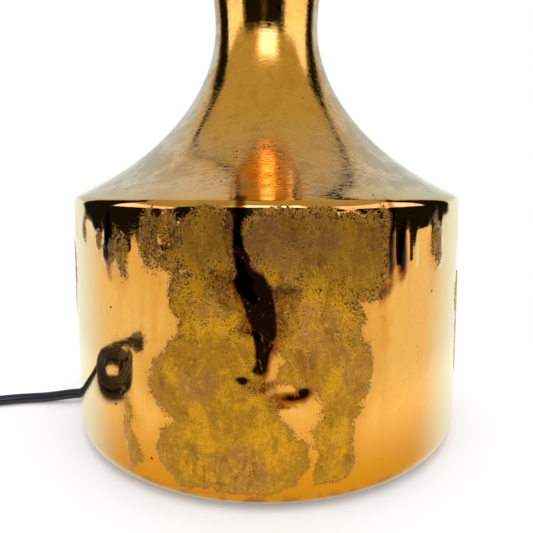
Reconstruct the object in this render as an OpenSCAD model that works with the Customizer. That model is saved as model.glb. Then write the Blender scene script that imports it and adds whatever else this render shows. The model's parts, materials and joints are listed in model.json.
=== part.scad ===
// Table lamp: a one-piece glazed ceramic body, a brass lampholder and a mains lead.
// Millimetres, +Z up. The origin is on the table, on the lamp's axis, under the felt pad.
// The front of the lamp faces -Y and the mains lead leaves low on the -X side.

/* [Ceramic body] */
// Diameter of the drum at its top edge
drum_d = 230; // [195:1:276]
// How much further the drum's foot stands out than its top edge
foot_flare = 4.5; // [1:0.5:8]
// Height of the drum's top edge above the table
drum_h = 140; // [116:1:168]
// Radius of the drum's top edge
edge_r = 4.7; // [3:0.1:7]
// Radius round the drum's foot
foot_round = 7.5; // [5:0.1:9]
// Slope of the shoulder where it leaves the drum
shoulder_slope = 24; // [18:1:30]
// Outside diameter of the neck at its waist
waist_d = 61; // [52:1:74]
// Height of the waist above the table
waist_z = 237; // [222:1:285]
// Height of the lip above the waist
lip_rise = 46; // [38:1:56]
// How much wider the lip is than the waist, on the radius
lip_flare = 7.5; // [5:0.5:11]
// Wall thickness of the drum and shoulder
wall = 8.5; // [7:0.1:10.2]
// Wall thickness of the neck
neck_wall = 6.5; // [5:0.5:7.5]

/* [Base] */
// Thickness of the felt pad
felt_t = 1.5; // [1:0.1:3]
// Thickness of the board let into the foot
board_t = 3; // [2.5:0.5:4]
// Width of the ledge that the board bears on
board_ledge = 3; // [2:0.5:4]

/* [Mains lead] */
// Outside diameter of the mains lead
lead_d = 6.5; // [5.5:0.1:6.5]
// Outside diameter of the rubber bush
bush_d = 9; // [8.6:0.1:10]
// How far the bush stands out of the wall
bush_nose = 4.5; // [3:0.5:5]
// Length of the bush
bush_len = 26; // [22:1:28]

/* [Neck hardware] */
// Thread diameter of the hollow lamp rod
rod_d = 10; // [9.6:0.1:11]
// Bore of the hollow lamp rod
rod_bore = 7; // [6.8:0.1:7.6]
// Width of the clamp bar
bar_w = 16; // [14:1:20]
// Thickness of the clamp bar
bar_t = 3; // [2:0.5:4]
// Thickness of the cork gasket on the lip
gasket_t = 1.5; // [1:0.1:3]
// Thickness of the spun brass sheet
sheet_t = 1; // [0.8:0.1:1.5]
// Height of the raised middle of the vase cap
cap_dome = 7; // [5:0.5:10]
// Height of the brass spacer over the vase cap
spacer_h = 8; // [6:1:16]

/* [Lampholder] */
// Outside diameter of the lampholder's shell
shell_d = 40; // [38:0.5:48]
// Length of the lampholder's shell
shell_h = 34; // [32:1:38]
// Height of the lampholder's lower cap
lower_cap_h = 34; // [33:1:38]
// Inside diameter of the screw shell
socket_d = 27; // [26.9:0.1:27.4]
// Outside diameter of the shade rings
shade_ring_d = 57; // [50:1:64]
// Diameter of the switch shaft
key_shaft_d = 4; // [3.6:0.1:5]

/* [Bulb] */
// Diameter of the bulb's glass
bulb_d = 60; // [45:1:70]
// Length of the bulb over its cap and glass
bulb_len = 105; // [98:1:115]
// Outside diameter of the bulb's screw cap
bulb_cap_d = 26.2; // [25.8:0.1:26.3]

/* [Plug] */
// Width of the plug's body
plug_w = 35.3; // [33:0.1:38]
// Thickness of the plug's body
plug_t = 13.7; // [13:0.1:15]
// Length of the plug's body
plug_body_len = 36; // [32:1:40]
// Diameter of a plug pin
pin_d = 4; // [3.6:0.1:4.8]
// Length of a plug pin outside the body
pin_len = 19; // [17:1:20]
// Distance between the pins' centres
pin_pitch = 18.6; // [17:0.1:20]
// Length of the plug's moulded strain relief
relief_len = 26; // [20:1:34]

/* [Hidden] */
$fn = 64;

// Clearances
slip = 0.1;          // between pieces that are assembled by hand
run_fit = 0.05;      // radial clearance of a turning shaft
air = 0.4;           // between pieces that move past each other
tight = 0.15;        // between sheet-metal pieces that nest

// Body outline. Each half outline is a list of [radius, height] points.
drum_r = drum_d / 2;
foot_r = drum_r + foot_flare;
foot_z = felt_t;
waist_r = waist_d / 2;
lip_z = waist_z + lip_rise;
lip_r = waist_r + lip_flare;
lip_edge = 2;
shoulder_reach = 60;   // handle of the shoulder's curve at the drum
waist_reach = 32;      // handle of the shoulder's curve at the waist
outline_steps = 28;
edge_steps = 6;

function bezier(p, q, s, r, t) =
    (1 - t) ^ 3 * p + 3 * (1 - t) ^ 2 * t * q + 3 * (1 - t) * t ^ 2 * s + t ^ 3 * r;
function arc_points(centre, r, a0, a1, n) =
    [for (i = [0:n]) centre + r * [cos(a0 + (a1 - a0) * i / n), sin(a0 + (a1 - a0) * i / n)]];

// The shoulder runs from the drum's rounded edge to the waist in one curve.
function shoulder_start(inset) =
    [drum_r - edge_r, drum_h - edge_r] + (edge_r - inset) * [sin(shoulder_slope), cos(shoulder_slope)];
function shoulder_point(inset, neck_inset, t) =
    bezier(shoulder_start(inset),
           shoulder_start(inset) + shoulder_reach * [-cos(shoulder_slope), sin(shoulder_slope)],
           [waist_r - neck_inset, waist_z - waist_reach],
           [waist_r - neck_inset, waist_z], t);
function shoulder_points(inset, neck_inset) =
    [for (i = [0:outline_steps]) shoulder_point(inset, neck_inset, i / outline_steps)];
function neck_points(neck_inset, top) =
    [for (i = [1:8]) [waist_r - neck_inset + lip_flare * (i / 8) ^ 2,
                      waist_z + (top - waist_z) * i / 8]];

outer_outline = concat(
    arc_points([foot_r - foot_round, foot_z + foot_round], foot_round, -90, 0, edge_steps),
    arc_points([drum_r - edge_r, drum_h - edge_r], edge_r, 0, 90 - shoulder_slope, edge_steps),
    shoulder_points(0, 0),
    neck_points(0, lip_z - lip_edge),
    arc_points([lip_r - lip_edge, lip_z - lip_edge], lip_edge, 15, 90, 4));

// The cavity: the board's rebate, the foot's ledge, the drum, the shoulder and the neck.
board_top = foot_z + board_t;
cavity_foot_r = foot_r - wall - board_ledge;
rebate_r = cavity_foot_r + board_ledge;
ledge_h = 8;
inner_outline = concat(
    [[0, foot_z - 1], [rebate_r, foot_z - 1], [rebate_r, board_top],
     [cavity_foot_r, board_top], [cavity_foot_r, board_top + ledge_h],
     [foot_r - wall, board_top + ledge_h + board_ledge], [drum_r - wall, drum_h - wall - edge_r]],
    shoulder_points(wall, neck_wall),
    neck_points(neck_wall, lip_z),
    [[lip_r - neck_wall, lip_z + 1], [0, lip_z + 1]]);

// Mains lead at the body: it leaves through a bush in a notch in the foot.
lead_az = 184;
bush_r = bush_d / 2;
lead_z = foot_z + bush_r;
bush_out = foot_r + bush_nose;
bush_in = bush_out - bush_len;
lead_r = lead_d / 2;

// Neck hardware, from the clamp bar up to the lampholder.
bar_step = 17;
bar_at = shoulder_point(wall, neck_wall, bar_step / outline_steps);
bar_z = bar_at[1];
bar_half = bar_at[0] - slip;
rod_r = rod_d / 2;
nut_h = 5;
nut_flats = rod_d + 7;
washer_t = 1.5;
rod_bottom = bar_z - bar_t - washer_t - nut_h - 3;
cap_bottom = lip_z + gasket_t;
cap_top = cap_bottom + cap_dome + sheet_t;
ring_h = 2.5;
spacer_z = cap_top + ring_h;
holder_z = spacer_z + spacer_h;
rod_top = holder_z + 9;

// Lampholder
shell_r = shell_d / 2;
lower_cap_r = shell_r - sheet_t - tight;
shell_z = holder_z + lower_cap_h - 4;
shell_top = shell_z + shell_h;
insert_r = lower_cap_r - sheet_t - 0.8;
insert_z = holder_z + 26;
insert_h = 13;
socket_r = socket_d / 2;
socket_wall = 0.5;
socket_z = insert_z + insert_h - 2;
key_z = holder_z + 17;
key_r = key_shaft_d / 2;
grip_z = holder_z + 9.6;
grip_h = 3;
core_r = 1.2;
core_y = 1.6;
terminal_y = 11;
terminal_h = 6.2;
terminal_z = insert_z - terminal_h - slip;

// Bulb
contact_gap = 0.3;
tongue_z = socket_z + 2.2;
bulb_z = tongue_z + 0.6 + contact_gap;
cap_r = bulb_cap_d / 2;
cap_h = 23;
glass_r = bulb_d / 2;
glass_z = bulb_z + cap_h + 3;
bulb_top = bulb_z + bulb_len;

// Route of the lead on the table, from the bush to the coil, and from the coil to the plug.
run_route = [[-123.7, -8.7, 6], [-130, -9.1, 5.8], [-136, -9.4, 5.1], [-142, -9.6, 4.3],
             [-149, -9.8, 3.6], [-157, -10.2, 3.3], [-167, -11.7, 3.3], [-178, -14.4, 3.3],
             [-190, -17.5, 3.4], [-203, -20.9, 3.7], [-217, -24.6, 4], [-231, -28.3, 4.1]];
tail_route = [[-254.6, -46.3, 10.6], [-261, -54, 10.5], [-268, -62.5, 10.2], [-275, -72, 9.5],
              [-281, -83, 8.3], [-285, -95, 7.3], [-287, -106, 6.9], [-287.5, -115, 6.9]];
lead_sides = 8;

// Inside the body the lead runs from the bush across the board and up into the rod.
exit_dir = [cos(lead_az), sin(lead_az), 0];
sheath_end = [0, 0, rod_bottom + 8];
inner_start = bush_in * exit_dir + [0, 0, lead_z];
inner_route = concat(
    [bush_out * exit_dir + [0, 0, lead_z]],
    [for (i = [0:14]) bezier(inner_start, inner_start - 70 * exit_dir,
        [0, 0, rod_bottom - 90], [0, 0, rod_bottom - 2], i / 14)],
    [sheath_end]);

// Coil of spare lead
coil_at = [-218, -77];
coil_in = 22.7;
coil_out = 53.7;
tie_t = 0.8;
tie_w = 14;
coil_h = 2 * lead_d;
tie_in = sqrt(coil_in ^ 2 - (tie_w / 2) ^ 2) - slip;
tie_az = 250;

// Plug, lying flat at the end of the lead
plug_at = [-287.5, -115, 6.9];
plug_turn = 270;

// ---- helpers ----
function unit(v) = v / norm(v);
function tangent(p, i) = unit(p[min(i + 1, len(p) - 1)] - p[max(i - 1, 0)]);
function section(p, i, r, hint) =
    let (t = tangent(p, i), side = unit(cross(t, hint)), up = cross(side, t))
    [for (k = [0:lead_sides - 1])
        p[i] + r * (cos(360 * (k + 0.5) / lead_sides) * side + sin(360 * (k + 0.5) / lead_sides) * up)];

// Round lead swept along a route; hint is a direction that the route never runs along.
module sweep_lead(route, r, hint) {
    n = len(route);
    points = [for (i = [0:n - 1]) each section(route, i, r, hint)];
    walls = [for (i = [0:n - 2], k = [0:lead_sides - 1])
        let (a = i * lead_sides + k, b = i * lead_sides + (k + 1) % lead_sides)
        [a, b, b + lead_sides, a + lead_sides]];
    first = [[for (k = [lead_sides - 1:-1:0]) k]];
    last = [[for (k = [0:lead_sides - 1]) (n - 1) * lead_sides + k]];
    polyhedron(points = points, faces = concat(first, walls, last), convexity = 6);
}

module tube(r_out, r_in, h) {
    difference() {
        cylinder(r = r_out, h = h);
        translate([0, 0, -1]) cylinder(r = r_in, h = h + 2);
    }
}

module hex(flats, h) {
    cylinder(r = flats / 2 / cos(30), h = h, $fn = 6);
}

// Places children on the lead's exit line, with their +Z pointing out of the body.
module at_exit(distance) {
    rotate([0, 0, lead_az]) translate([distance, 0, lead_z]) rotate([0, 90, 0]) children();
}

module at_plug() {
    translate(plug_at) rotate([0, 0, plug_turn]) rotate([0, 90, 0]) children();
}

// ---- ceramic body and base ----
module ceramic_body() {
    color("goldenrod") difference() {
        rotate_extrude($fn = 128) polygon(concat(outer_outline, [[0, lip_z], [0, foot_z]]));
        rotate_extrude($fn = 128) polygon(inner_outline);
        at_exit(cavity_foot_r - 4) cylinder(r = bush_r + slip, h = wall + board_ledge + 8);
        rotate([0, 0, lead_az])
            translate([cavity_foot_r - 4, -bush_r - slip, foot_z - 1])
                cube([wall + board_ledge + 8, 2 * (bush_r + slip), bush_r + 1]);
    }
}

module base_board() {
    color("saddlebrown") difference() {
        translate([0, 0, foot_z]) cylinder(r = rebate_r - 0.3, h = board_t, $fn = 128);
        rotate([0, 0, lead_az])
            translate([60, -bush_r - 0.5, foot_z - 1])
                cube([rebate_r, bush_d + 1, board_t + 2]);
    }
}

module felt_pad() {
    color("darkgreen") cylinder(r = foot_r - foot_round, h = felt_t, $fn = 128);
}

module cable_bush() {
    nose_r = lead_r + 0.75;
    taper = bush_nose - 1;
    color("black") at_exit(bush_in) difference() {
        rotate_extrude() polygon([[0, 0], [nose_r, 0], [bush_r, bush_len * 0.4],
            [bush_r, bush_len - taper], [nose_r, bush_len], [0, bush_len]]);
        translate([0, 0, -1]) cylinder(r = lead_r + slip, h = bush_len + 2);
    }
}

module inner_lead() {
    color("dimgray") sweep_lead(inner_route, lead_r, [0, 1, 0]);
}

// Two insulated cores, from the end of the sheath up the rod to the terminals.
module lead_cores() {
    color("peru") for (s = [-1, 1])
        sweep_lead([[0, s * core_y, sheath_end[2] + slip], [0, s * core_y, rod_top - 40],
            [0, s * core_y, rod_top], [0, s * core_y, grip_z + grip_h], [0, s * 2.6, grip_z + grip_h + 2],
            [0, s * 5.4, grip_z + grip_h + 3.2], [0, s * 8.8, grip_z + grip_h + 3.6],
            [0, s * 10.6, grip_z + grip_h + 4.6], [0, s * terminal_y, terminal_z - slip]],
            core_r, [1, 0, 0]);
}

// ---- neck hardware ----
module threaded_rod() {
    thread_depth = 0.4;
    pitch = 5;
    count = floor((rod_top - rod_bottom) / pitch);
    color("silver") difference() {
        translate([0, 0, rod_bottom]) cylinder(r = rod_r, h = rod_top - rod_bottom);
        translate([0, 0, rod_bottom - 1]) cylinder(r = rod_bore / 2, h = rod_top - rod_bottom + 2);
        for (i = [1:count - 1])
            translate([0, 0, rod_bottom + i * pitch]) tube(rod_r + 1, rod_r - thread_depth, 0.8);
    }
}

module clamp_bar() {
    color("slategray") difference() {
        translate([0, 0, bar_z - bar_t]) intersection() {
            translate([-bar_half, -bar_w / 2, 0]) cube([2 * bar_half, bar_w, bar_t]);
            cylinder(r = bar_half, h = bar_t);
        }
        translate([0, 0, bar_z - bar_t - 1]) cylinder(r = rod_r + slip, h = bar_t + 2);
    }
}

module bar_washer() {
    color("silver") translate([0, 0, bar_z - bar_t - washer_t]) tube(rod_r + 4, rod_r + slip, washer_t);
}

module bar_nut() {
    color("silver") translate([0, 0, bar_z - bar_t - washer_t - nut_h]) difference() {
        hex(nut_flats, nut_h);
        translate([0, 0, -1]) cylinder(r = rod_r + slip, h = nut_h + 2);
    }
}

module lip_gasket() {
    color("burlywood") translate([0, 0, lip_z]) tube(lip_r - lip_edge, lip_r - neck_wall + 0.5, gasket_t);
}

// Spun cap: a rim turned down over the lip, a flat, and a raised middle.
module vase_cap() {
    rim_r = lip_r + 1.5;
    rim_drop = 4;
    flat_r = 20;
    crown_r = 12;
    z = cap_bottom;
    color("gold") rotate_extrude($fn = 96) polygon([
        [rod_r + slip, z + cap_dome], [crown_r, z + cap_dome], [flat_r, z], [rim_r, z],
        [rim_r, z - rim_drop], [rim_r + sheet_t, z - rim_drop], [rim_r + sheet_t, z + sheet_t * 0.4],
        [rim_r + sheet_t * 0.4, z + sheet_t], [flat_r + sheet_t * 0.4, z + sheet_t],
        [crown_r + sheet_t * 0.4, z + cap_dome + sheet_t], [rod_r + slip, z + cap_dome + sheet_t]]);
}

module check_ring() {
    color("gold") translate([0, 0, cap_top]) tube(rod_r + 6, rod_r + slip, ring_h);
}

// Nut under the vase cap that holds it at its height on the rod.
module rod_locknut() {
    color("silver") translate([0, 0, cap_bottom + cap_dome - nut_h - slip]) difference() {
        hex(nut_flats, nut_h);
        translate([0, 0, -1]) cylinder(r = rod_r + slip, h = nut_h + 2);
    }
}

module neck_spacer() {
    color("gold") translate([0, 0, spacer_z]) tube(rod_r + 3, rod_r + slip, spacer_h);
}

// ---- lampholder ----
module holder_lower_cap() {
    hub_r = rod_r + 4;
    hub_h = 8;
    w = sheet_t;
    color("gold") translate([0, 0, holder_z]) difference() {
        rotate_extrude() polygon([
            [rod_r + slip, 0], [hub_r, 0], [hub_r, hub_h - 2], [lower_cap_r - 3, hub_h],
            [lower_cap_r, hub_h + 3], [lower_cap_r, lower_cap_h],
            [lower_cap_r - w, lower_cap_h], [lower_cap_r - w, hub_h + 3.4],
            [lower_cap_r - 3.4, hub_h + w], [hub_r - 2, hub_h + w], [rod_r + slip, hub_h + w]]);
        translate([0, 0, key_z - holder_z]) rotate([0, 90, 0])
            cylinder(r = key_r + run_fit, h = shell_r + 2, $fn = 32);
        translate([0, 0, 3.5]) rotate([90, 0, 0]) cylinder(r = 1.5 + slip, h = hub_r + 2, $fn = 32);
    }
}

module holder_grub_screw() {
    color("silver") translate([0, -rod_r - slip, holder_z + 3.5]) rotate([90, 0, 0]) difference() {
        cylinder(r = 1.5, h = 4.4, $fn = 32);
        translate([-2, -0.3, 3.6]) cube([4, 0.6, 2]);
    }
}

// Moulded grip that holds the cores over the rod's end.
module cord_grip() {
    color("ivory") translate([0, 0, grip_z]) difference() {
        cylinder(r = rod_r + 3, h = grip_h);
        for (s = [-1, 1])
            translate([0, s * core_y, -1]) cylinder(r = core_r + slip, h = grip_h + 2, $fn = 24);
    }
}

module holder_shell() {
    ridge = 0.6;
    color("gold") translate([0, 0, shell_z]) difference() {
        union() {
            tube(shell_r, shell_r - sheet_t, shell_h);
            for (i = [0:5])
                translate([0, 0, 12 + i * 3]) rotate_extrude() polygon([[shell_r - 0.3, 0],
                    [shell_r + ridge, 0.9], [shell_r + ridge, 1.3], [shell_r - 0.3, 2.2]]);
        }
        translate([0, 0, -1]) cylinder(r = shell_r - sheet_t, h = shell_h + 2);
    }
}

module holder_liner() {
    liner_r = shell_r - sheet_t - slip;
    color("darkkhaki") translate([0, 0, holder_z + lower_cap_h + 0.3])
        tube(liner_r, liner_r - 0.8, shell_top - holder_z - lower_cap_h - 2);
}

module porcelain_insert() {
    neck_r = socket_r + socket_wall + 1.8;
    color("white") translate([0, 0, insert_z]) difference() {
        union() {
            cylinder(r = insert_r, h = insert_h - 5);
            cylinder(r = neck_r, h = insert_h);
        }
        translate([0, 0, insert_h - 2]) cylinder(r = socket_r + socket_wall + slip, h = 3);
        for (s = [-1, 1])
            translate([0, s * terminal_y, -1]) cylinder(r = 1.7, h = insert_h, $fn = 32);
    }
}

module screw_shell() {
    color("gold") translate([0, 0, socket_z]) difference() {
        union() {
            tube(socket_r + socket_wall, socket_r, shell_top - socket_z - 4);
            for (i = [0:3])
                translate([0, 0, 5 + i * 3.6]) tube(socket_r + socket_wall + 0.5, socket_r + 0.1, 1.6);
            cylinder(r = socket_r + 0.1, h = 0.5);
        }
        translate([-6, -6, -1]) cube([12, 12, 3]);
    }
}

// Springy tongue under the bulb's centre contact.
module centre_contact() {
    color("peru") translate([0, 0, socket_z]) {
        translate([-2.5, -5, 0]) cube([5, 1.2, 2.2]);
        translate([-2.5, -5, 1.6]) cube([5, 8, 1.2]);
    }
}

module side_contact() {
    color("gold") translate([0, 0, socket_z]) {
        translate([-2, 7, 0.5]) cube([4, 4.5, 0.5]);
    }
}

module terminal_blocks() {
    color("gold") for (s = [-1, 1])
        translate([0, s * terminal_y, terminal_z]) difference() {
            translate([-3.5, -2.5, 0]) cube([7, 5, terminal_h]);
            translate([0, 0, terminal_h / 2]) rotate([0, 90, 0])
                cylinder(r = 1.1 + slip, h = 5, $fn = 32);
        }
}

module terminal_screws() {
    color("silver") for (s = [-1, 1])
        translate([3.6, s * terminal_y, terminal_z + terminal_h / 2]) rotate([0, 90, 0]) difference() {
            union() {
                cylinder(r = 2, h = 1.6, $fn = 32);
                translate([0, 0, -2.8]) cylinder(r = 1.1, h = 3, $fn = 32);
            }
            translate([-3, -0.3, 1]) cube([6, 0.6, 2]);
        }
}

// ---- turning switch ----
cam_x = 4;
cam_len = 6;
cam_r = 4;

// Leaf over the cam, held by its foot under the porcelain.
module switch_spring() {
    leaf_z = key_z + cam_r + air;
    leaf_t = 0.6;
    color("peru") {
        translate([cam_x, -7.5, leaf_z]) cube([cam_len - 1, 11, leaf_t]);
        translate([cam_x, -7.5, leaf_z]) cube([cam_len - 1, 1.5, insert_z - leaf_z]);
    }
}

module switch_shaft() {
    color("silver") translate([cam_x + cam_len, 0, key_z]) rotate([0, 90, 0])
        cylinder(r = key_r, h = key_x + key_boss - cam_x - cam_len, $fn = 32);
}

module switch_cam() {
    flat = 3;
    color("ivory") translate([cam_x, 0, key_z]) rotate([0, 90, 0]) intersection() {
        cylinder(r = cam_r, h = cam_len, $fn = 32);
        translate([-flat, -flat, 0]) cube([2 * flat, 2 * flat, cam_len]);
    }
}

// Flat turn key: an oval paddle with a round boss.
key_x = shell_r + 2;
key_boss = 6;
module switch_key() {
    color("gold") translate([key_x, 0, key_z]) rotate([0, 90, 0]) difference() {
        union() {
            cylinder(r = key_r + 1.6, h = key_boss + 1, $fn = 32);
            translate([0, 0, key_boss + 4]) hull() for (s = [-1, 1])
                translate([0, s * 5.5, 0]) rotate([0, 90, 0])
                    translate([0, 0, -1.1]) cylinder(r = 4.5, h = 2.2, $fn = 32);
        }
        translate([0, 0, -1]) cylinder(r = key_r + slip, h = key_boss + 1 + slip, $fn = 32);
    }
}

// ---- shade rings ----
module shade_ring(z) {
    color("gold") translate([0, 0, z]) difference() {
        union() {
            tube(shade_ring_d / 2, shell_r + 0.7, 1.6);
            tube(shell_r + 3, shell_r + 0.7, 4.5);
        }
        for (i = [0:11]) rotate([0, 0, i * 30])
            translate([shade_ring_d / 2 + 0.6, 0, -1]) cylinder(r = 1.6, h = 6, $fn = 24);
    }
}
module shade_ring_lower() { shade_ring(shell_z + 13); }
module shade_ring_upper() { shade_ring(shell_z + 19.5); }

// ---- bulb ----
module bulb_glass() {
    neck_r = cap_r - 0.9;
    centre_z = bulb_top - glass_r;
    join_t = 40;
    join = [glass_r * cos(-join_t), centre_z + glass_r * sin(-join_t)];
    outer = concat(
        [[neck_r, glass_z]],
        [for (i = [1:8]) bezier([neck_r, glass_z], [neck_r + 0.5, glass_z + 14],
            join + 12 * [-sin(join_t), -cos(join_t)], join, i / 8)],
        arc_points([0, centre_z], glass_r, -join_t + 8, 90, 16));
    inner = [for (i = [len(outer) - 1:-1:0])
        [max(0, outer[i][0] - 0.8), outer[i][1] - (i == 0 ? 0 : 0.8 * max(0, (outer[i][1] - centre_z) / glass_r))]];
    color("lightyellow") rotate_extrude() polygon(concat(outer, inner));
}

module bulb_cap() {
    step = 3.6;
    color("silver") difference() {
        translate([0, 0, bulb_z + 4]) union() {
            cylinder(r = cap_r - 0.9, h = cap_h - 1.1);
            for (i = [0:3])
                translate([0, 0, 1.5 + i * step]) rotate_extrude() polygon([[cap_r - 1.2, 0],
                    [cap_r, 0.9], [cap_r, 1.5], [cap_r - 1.2, 2.4]]);
            translate([0, 0, cap_h - 5]) cylinder(r = cap_r, h = 3.9);
        }
        translate([0, 0, bulb_z + 3]) cylinder(r = cap_r - 1.3, h = cap_h - 2);
        translate([0, 0, glass_z - slip]) cylinder(r = cap_r - 0.9 + slip, h = 5);
    }
}

module bulb_insulator() {
    color("black") translate([0, 0, bulb_z + 1]) difference() {
        cylinder(r1 = 5.5, r2 = cap_r - 1.4, h = 4.5, $fn = 48);
        translate([0, 0, -1]) cylinder(r = 3.5, h = 2);
    }
}

module bulb_base_contact() {
    color("silver") translate([0, 0, bulb_z]) cylinder(r1 = 3.6, r2 = 4.8, h = 1, $fn = 48);
}

module bulb_stem() {
    color("lightblue") translate([0, 0, glass_z + 2]) {
        cylinder(r1 = 8, r2 = 3.5, h = 16, $fn = 48);
        translate([0, 0, 16]) cylinder(r = 1.8, h = 14, $fn = 32);
    }
}

filament_z = glass_z + 44;
filament_half = 11;
module bulb_wires() {
    color("silver") for (s = [-1, 1]) {
        sweep_lead([[s * 5.5, 0, glass_z + 14], [s * 6, 0, glass_z + 22],
            [s * 9, 0, glass_z + 34], [s * filament_half, 0, filament_z]], 0.4, [0, 1, 0]);
    }
}

module bulb_filament() {
    color("orange") translate([-filament_half, 0, filament_z]) rotate([0, 90, 0])
        cylinder(r = 0.5, h = 2 * filament_half, $fn = 24);
}

// ---- lead on the table ----
module lead_run() {
    color("black") sweep_lead(run_route, lead_r, [0, 0, 1]);
}

module lead_coil() {
    soft = 2;
    z = tie_t;
    color("black") translate([coil_at[0], coil_at[1], 0]) rotate_extrude() polygon([
        [coil_in + soft, z], [coil_out - soft, z], [coil_out, z + soft],
        [coil_out, z + coil_h - soft], [coil_out - soft, z + coil_h],
        [coil_in + soft, z + coil_h], [coil_in, z + coil_h - soft], [coil_in, z + soft]]);
}

module coil_tie() {
    color("dimgray") translate([coil_at[0], coil_at[1], 0]) rotate([0, 0, tie_az])
        translate([tie_in - tie_t, -tie_w / 2, 0]) difference() {
            cube([coil_out + slip - tie_in + 2 * tie_t, tie_w, coil_h + 2 * tie_t + slip]);
            translate([tie_t, -1, tie_t])
                cube([coil_out + slip - tie_in, tie_w + 2, coil_h + slip]);
        }
}

module lead_tail() {
    color("black") sweep_lead(tail_route, lead_r, [0, 0, 1]);
}

module plug_relief() {
    rib = 1.2;
    color("black") at_plug() union() {
        cylinder(r1 = lead_r + 0.6, r2 = lead_r + 2.2, h = relief_len);
        for (i = [1:5])
            translate([0, 0, i * relief_len / 6]) cylinder(r = lead_r + 1 + i * 0.25, h = rib);
    }
}

// Flat plug body with a rounded back and a plain face.
module plug_body() {
    round_r = plug_t / 2 - 0.2;
    color("black") at_plug() translate([0, 0, relief_len]) hull() {
        for (s = [-1, 1]) translate([0, s * (plug_w / 2 - round_r), 8])
            cylinder(r = round_r, h = plug_body_len - 8, $fn = 32);
        cylinder(r = round_r - 1, h = 2, $fn = 32);
    }
}

module plug_pins() {
    color("silver") at_plug() for (s = [-1, 1])
        translate([0, s * pin_pitch / 2, relief_len + plug_body_len]) {
            cylinder(r = pin_d / 2, h = pin_len - 1, $fn = 32);
            translate([0, 0, pin_len - 1]) cylinder(r1 = pin_d / 2, r2 = pin_d / 2 - 0.8, h = 1, $fn = 32);
        }
}

ceramic_body();
base_board();
felt_pad();
cable_bush();
inner_lead();
lead_cores();
threaded_rod();
clamp_bar();
bar_washer();
bar_nut();
lip_gasket();
vase_cap();
check_ring();
rod_locknut();
neck_spacer();
holder_lower_cap();
holder_grub_screw();
cord_grip();
holder_shell();
holder_liner();
porcelain_insert();
screw_shell();
centre_contact();
side_contact();
terminal_screws();
terminal_blocks();
switch_spring();
switch_key();
switch_shaft();
switch_cam();
shade_ring_lower();
shade_ring_upper();
bulb_glass();
bulb_cap();
bulb_insulator();
bulb_base_contact();
bulb_stem();
bulb_wires();
bulb_filament();
lead_run();
lead_coil();
coil_tie();
lead_tail();
plug_body();
plug_pins();
plug_relief();
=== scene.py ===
"""Looks of the lava-glaze table lamp: glaze relief, threads, lead and materials on the CAD frame."""
import json
import math

import bpy
import numpy as np
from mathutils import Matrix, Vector, noise


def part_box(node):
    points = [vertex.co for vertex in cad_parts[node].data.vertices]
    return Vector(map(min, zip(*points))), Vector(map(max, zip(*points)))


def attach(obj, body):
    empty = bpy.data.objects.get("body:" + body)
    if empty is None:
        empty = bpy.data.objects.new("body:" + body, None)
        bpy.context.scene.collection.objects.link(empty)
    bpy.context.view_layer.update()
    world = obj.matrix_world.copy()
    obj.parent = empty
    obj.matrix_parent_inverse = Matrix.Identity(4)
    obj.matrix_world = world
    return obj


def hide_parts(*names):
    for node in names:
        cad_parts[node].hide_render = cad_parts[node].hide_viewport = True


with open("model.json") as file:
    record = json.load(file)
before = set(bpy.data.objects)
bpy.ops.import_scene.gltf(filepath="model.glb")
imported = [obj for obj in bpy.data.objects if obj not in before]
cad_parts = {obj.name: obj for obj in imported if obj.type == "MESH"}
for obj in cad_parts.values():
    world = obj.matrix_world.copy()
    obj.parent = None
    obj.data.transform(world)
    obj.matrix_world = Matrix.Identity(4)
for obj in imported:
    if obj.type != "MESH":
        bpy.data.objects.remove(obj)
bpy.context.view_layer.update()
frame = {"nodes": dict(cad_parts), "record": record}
MM = 0.001
NODES = frame["nodes"]
scene = bpy.context.scene
scene.view_settings.view_transform = "Standard"


# ---------------------------------------------------------------- places, from part.scad's sizes
DRUM_R, DRUM_H, EDGE_R = 115 * MM, 140 * MM, 4.7 * MM
FOOT_R, FOOT_Z, FOOT_ROUND = 119.5 * MM, 1.5 * MM, 7.5 * MM
SLOPE = math.radians(24)
WAIST_R, WAIST_Z, LIP_RISE, LIP_FLARE = 30.5 * MM, 237 * MM, 46 * MM, 7.5 * MM
SHOULDER_REACH, WAIST_REACH = 60 * MM, 32 * MM
NECK_WALL, WALL, FOOT_WALL = 6.5 * MM, 8.5 * MM, 11.5 * MM
LIP_EDGE = 2 * MM
LIP_Z = WAIST_Z + LIP_RISE
SHELL_LO, SHELL_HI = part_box("holder_shell")
GLASS_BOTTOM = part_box("bulb_glass")[0][2]
SHELL_R, SHELL_WALL = 20 * MM, 1 * MM
SHELL_PITCH, SHELL_RIDGE = 3 * MM, 0.6 * MM
BULB_CAP_R, BULB_PITCH, BULB_RIDGE = 13.1 * MM, 3.63 * MM, 0.9 * MM
LEAD_D = 6.5 * MM
COIL_AT = Vector((-218 * MM, -77 * MM))
COIL_FLOOR = 0.8 * MM
COIL_OUTER = 50.4 * MM
FRONT = math.radians(270)


# ---------------------------------------------------------------- small helpers
def mm(points):
    return [Vector(p) * MM for p in points]


def smooth(x, a, b):
    t = np.clip((x - a) / (b - a), 0, 1)
    return t * t * (3 - 2 * t)


def bezier(p, q, s, r, t):
    t = t[:, None]
    return (1 - t) ** 3 * p + 3 * (1 - t) ** 2 * t * q + 3 * (1 - t) * t * t * s + t ** 3 * r


def arc(centre, r, a0, a1, n):
    a = np.radians(np.linspace(a0, a1, n))
    return np.c_[centre[0] + r * np.cos(a), centre[1] + r * np.sin(a)]


def link(obj):
    scene.collection.objects.link(obj)
    return obj


def ring_faces(rows, cols):
    """Faces of a surface that closes on itself both round the axis and along its outline."""
    return [(i * cols + k, i * cols + (k + 1) % cols, ((i + 1) % rows) * cols + (k + 1) % cols,
             ((i + 1) % rows) * cols + k) for i in range(rows) for k in range(cols)]


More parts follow.
